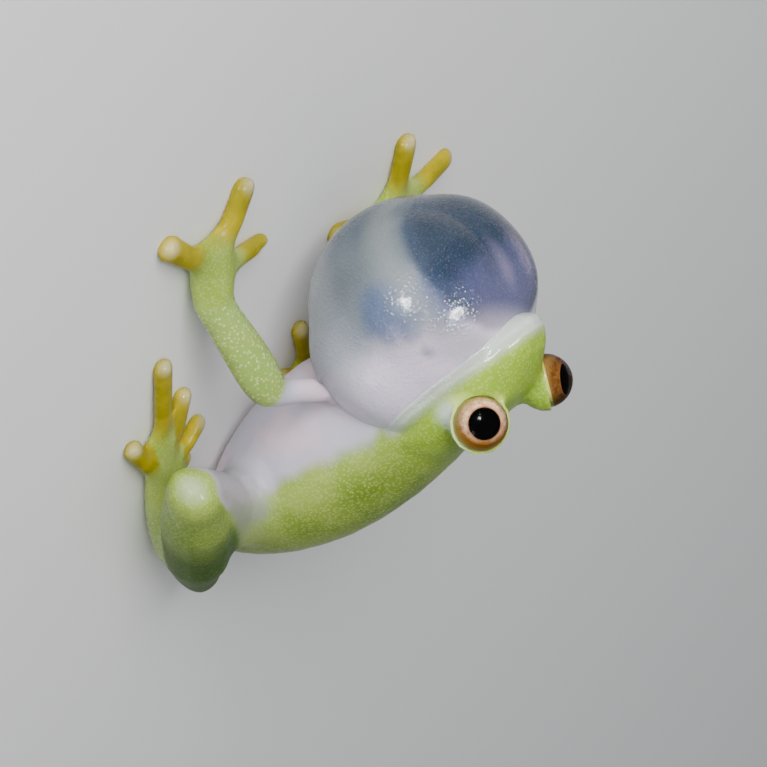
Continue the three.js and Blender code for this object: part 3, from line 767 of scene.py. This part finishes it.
def sac_paint():
    paint = Paint("taut_membrane")
    middle = TRUNK @ Vector((*turn_head(np.array([[0, SAC["y"], SAC["z"]]]))[0],))
    to_sac = ROW_TO_TRUNK.copy()
    to_sac.translation = -(ROW_TO_TRUNK.to_3x3() @ middle)
    local = paint.seen_from(to_sac)
    x, y, z = paint.axes(local)
    mirrored = paint.vector(x.math("ABSOLUTE"), y, z)
    drift = paint.clouds(0.3, 3.0, 0.55)

    def away(place, source, unevenness):
        """How far a point is from a place on the sac, in millimetres and unevenly."""
        distance = paint.vector_math("DISTANCE", source, place).outputs["Value"]
        return Field(paint, distance) + (drift - 0.5) * unevenness

    def blot(under, place, edge, strength, tone, source=mirrored, unevenness=1.6):
        """Adds a soft patch round a place: whole within the edge's first distance, gone at its second."""
        return paint.mix((1 - away(place, source, unevenness).ease(*edge)) * strength, under, tone)

    # Paler and paler from the underside to the top. The darker underside is painted shade, the unlit
    # surroundings showing through the membrane
    height = z + drift * 2.0
    tint = (66, 80, 94)
    for low, high, tone in (
        (-4.2, -2.6, (98, 108, 116)),
        (-2.6, 1.6, (134, 140, 152)),
        (0.6, 3.4, (210, 198, 216)),
    ):
        tint = paint.mix(height.ease(low, high), tint, tone)

    # Bluish patches on each side, painted shade where the dark surroundings show through the membrane,
    # and a whitish back
    tint = blot(tint, (5.6, -2.2, -0.4), (0.9, 2.2), 0.8, (72, 92, 130))
    tint = paint.mix(y.ease(-0.5, 1.8) * 0.35, tint, (196, 200, 210))
    tint = blot(tint, (3.9, -4.8, 0.5), (0.9, 2.5), 0.9, (84, 94, 128), unevenness=0.8)

    # The dark window in front, painted shade where the dark surroundings show through the membrane,
    # with a pale ring round it, fainter towards its top
    front = away((0.2, -5.8, -0.7), local, 0.7)
    tint = paint.mix(front.ease(4.55, 5.25) * (1 - front.ease(5.45, 6.65)) * 0.4, tint, (144, 150, 146))
    window = paint.mix((z + paint.clouds(0.6, 2.0) * 3.0).ease(0.0, 3.0), (20, 40, 62), (70, 74, 110))
    window = paint.mix(front.ease(3.25, 4.55), window, (48, 62, 84))
    fading = 1 - 0.5 * (z + 0.4 * x).ease(2.4, 3.9)
    tint = paint.mix((1 - front.ease(4.15, 4.75)) * 0.96 * fading, tint, window)

    # A pinkish streak down the front, fine specks, and a dark spot high on the left
    stretched = paint.vector(x, y, z * 0.3)
    tint = blot(tint, (0.1, -5.8, 0.25), (0.0, 0.7), 0.26, (164, 148, 176), stretched, 0.6)
    tint = paint.mix(paint.clouds(11.0, 2.0, 0.7).ease(0.52, 0.72) * 0.08, tint, (224, 216, 230))
    tint = blot(tint, (4.93, -2.43, 2.11), (0.0, 0.5), 0.45, (90, 94, 116), local)
    fine = paint.cells(5.0)
    shader = paint.shader(
        {
            "Base Color": tint,
            "Roughness": 0.22,
            "Specular IOR Level": 0.35,
            "Subsurface Weight": 0.25,
            "Subsurface Scale": 0.6 * METRES,
            "Coat Weight": 0.25,
            "Coat Roughness": 0.09,
            "Alpha": 0.95,
            "Normal": paint.bump(1 - fine.ease(0.0, 0.6), 0.02),
        }
    )
    return paint.output(shader)


# For each eye: its light and dark streaks, the edge of its iris, how strong its golden ring is, and
# between which distances from the axis of its opening the lid's colour starts. The right one's darker,
# browner colours are painted shade.
IRIS_LOOKS = {
    "left": {
        "streaks": ((236, 200, 156), (196, 152, 116)),
        "edge": (206, 142, 34),
        "golden": 0.55,
        "lid": (1.31, 1.36),
    },
    # Painted shade: the right eye's streaks and edge are darker and browner
    "right": {
        "streaks": ((116, 76, 30), (84, 52, 16)),
        "edge": (112, 78, 18),
        "golden": 0.15,
        "lid": (1.362, 1.37),
    },
}


def eye_paint(side):
    paint = Paint("iris_" + side)
    looks = IRIS_LOOKS[side]
    local = paint.seen_from((TRUNK @ eye_frame(side, *GAZE[side])).inverted())
    x, y, _ = paint.axes(local)
    reach = (x * x + y * y).math("SQRT")
    streaks = paint.clouds(3.0, 4.0, 0.7, local)
    inwards = 1 if side == "left" else -1
    outer = reach * 0.8 + 0.3 * streaks + 0.28 * y + 0.18 * x * inwards
    iris = paint.mix(streaks.ease(0.38, 0.62), *looks["streaks"])
    iris = paint.mix((1 - paint.cells(8.0).ease(0.1, 0.5)) * 0.5, iris, (134, 92, 90))
    iris = paint.mix(outer.ease(1.0, 1.36), iris, looks["edge"])
    iris = paint.mix(reach.ease(1.16, 1.3) * looks["golden"], iris, (206, 176, 84))

    # A reddish line round the black pupil
    iris = paint.mix((1 - (reach - PUPIL).ease(0.0, 0.1)) * 0.8, iris, (150, 88, 60))
    iris = paint.mix((reach - PUPIL).ease(-0.03, 0.0), (2, 2, 2), iris)

    # The lid's colour on the ball, outside the opening
    flattened =paint.vector_math("MULTIPLY", paint.seen_from(lid_frame(side).inverted()), (1, 1, 0))
    from_axis = Field(paint, paint.vector_math("LENGTH", flattened.outputs[0]).outputs["Value"])
    iris = paint.mix(from_axis.ease(*looks["lid"]), iris, (200, 206, 110))
    shader = paint.shader(
        {
            "Base Color": iris,
            "Roughness": 0.6,
            "Specular IOR Level": 0.0,
            "Normal": paint.bump(streaks, 0.03),
        }
    )
    return paint.output(shader)


def cornea_paint():
    """Clear but for a wet gloss, which is stronger towards the rim."""
    paint = Paint("clear_cornea")
    clear = paint.node("ShaderNodeBsdfTransparent")
    gloss = paint.shader({"Base Color": colour((190, 190, 190)), "Roughness": 0.12, "Metallic": 1.0})
    fresnel = paint.node("ShaderNodeFresnel", {}, {"IOR": 1.27})
    layers = {0: fresnel.outputs[0], 1: clear.outputs[0], 2: gloss.outputs[0]}
    return paint.output(paint.node("ShaderNodeMixShader", {}, layers))


# Floor, lights and camera

AIM = TRUNK @ Vector((0.12, 10.2, -2.39))  # the point the camera looks at
CAMERA = {"azimuth": 56.77, "elevation": 18.08, "roll": 123.56, "distance": 170.0, "lens": 155.5}
FLOOR_RADIUS = 2.0  # in metres


def camera():
    """The camera, rolled about its line of sight, because the frog sits level here."""
    back = aimed(CAMERA["azimuth"], CAMERA["elevation"])
    level = Vector((0, 0, 1)).cross(back).normalized()
    right = Matrix.Rotation(math.radians(CAMERA["roll"]), 3, back) @ level
    turn = Matrix((right, back.cross(right), back)).transposed().to_4x4()
    made = bpy.data.objects.new("camera", bpy.data.cameras.new("camera"))
    made.matrix_world = Matrix.Translation((AIM + back * CAMERA["distance"]) * METRES) @ turn
    made.data.lens = CAMERA["lens"]
    made.data.sensor_fit = "HORIZONTAL"
    made.data.sensor_width = 36
    made.data.clip_start = 0.005
    made.data.clip_end = 5
    bpy.context.scene.collection.objects.link(made)
    bpy.context.scene.camera = made


def softbox(name, direction, size, power, distance=220, mirrored=True, diffuse=True, tint=(1, 1, 1)):
    """A round light that faces the frog from a direction. It may leave out gloss or all but gloss."""
    made = bpy.data.objects.new(name, bpy.data.lights.new(name, "AREA"))
    way = Vector(direction).normalized()
    made.matrix_world = Matrix.Translation((AIM + way * distance) * METRES) @ facing(way)
    made.data.shape = "DISK"
    made.data.size = size * METRES
    made.data.energy = power
    made.data.color = tint
    made.visible_glossy = mirrored
    made.visible_diffuse = diffuse
    bpy.context.scene.collection.objects.link(made)
    return made


def share_light(light, pieces, state):
    """Lets a light reach only these pieces, with the state INCLUDE, or all others, with EXCLUDE."""
    group = bpy.data.collections.new(light.name + "_pieces")
    for piece in pieces:
        group.objects.link(piece)
    light.light_linking.receiver_collection = group
    for member in group.collection_objects:
        member.light_linking.link_state = state


def lights(corneas):
    """One soft key light, two flashes that the sac mirrors and one for the eyes, two blushes and a rim."""
    softbox("key", (0.62, -0.72, 0.32), size=150, power=1.2, distance=260, mirrored=False)
    flash_low = softbox("flash_low", (0.894, -0.441, 0.06), size=46, power=0.6, diffuse=False)
    flash_high = softbox("flash_high", (0.305, -0.432, 0.849), size=60, power=0.85, diffuse=False)
    catchlight = softbox("catchlight", (0.656, -0.746, 0.04), size=32, power=0.6, diffuse=False)
    share_light(flash_low, corneas, "EXCLUDE")
    share_light(flash_high, corneas, "EXCLUDE")
    share_light(catchlight, corneas, "INCLUDE")
    softbox("blush_side", (0.93, 0.36, 0.1), size=90, power=0.15, diffuse=False, tint=(1, 0.8, 0.9))
    softbox("blush_front", (-0.95, -0.22, 0.19), size=110, power=0.035, diffuse=False, tint=(1, 0.75, 0.9))
    softbox("rim", (-0.6, 0.5, 0.7), size=160, power=0.05, distance=300, mirrored=False)


def floor():
    bm = bmesh.new()
    bmesh.ops.create_circle(bm, cap_ends=True, segments=96, radius=FLOOR_RADIUS)
    made = piece_of("floor", mesh_from(bm, "floor"))
    paint = Paint("pale_floor")
    shader = paint.shader({"Base Color": colour((240, 240, 237)), "Roughness": 0.7})
    made.data.materials.append(paint.output(shader))


def world():
    made = bpy.data.worlds.new("studio")
    made.use_nodes = True
    background = made.node_tree.nodes["Background"]
    background.inputs["Color"].default_value = (0.9, 0.94, 1.0, 1)
    background.inputs["Strength"].default_value = 0.33
    bpy.context.scene.world = made


skin_piece().data.materials.append(skin_paint())
sac_piece().data.materials.append(sac_paint())
clear_corneas = []
for eye_side in ("left", "right"):
    eyeball, clear_cornea = eye_pieces(eye_side)
    eyeball.data.materials.append(eye_paint(eye_side))
    clear_cornea.data.materials.append(cornea_paint())
    clear_corneas.append(clear_cornea)
floor()
world()
lights(clear_corneas)
camera()
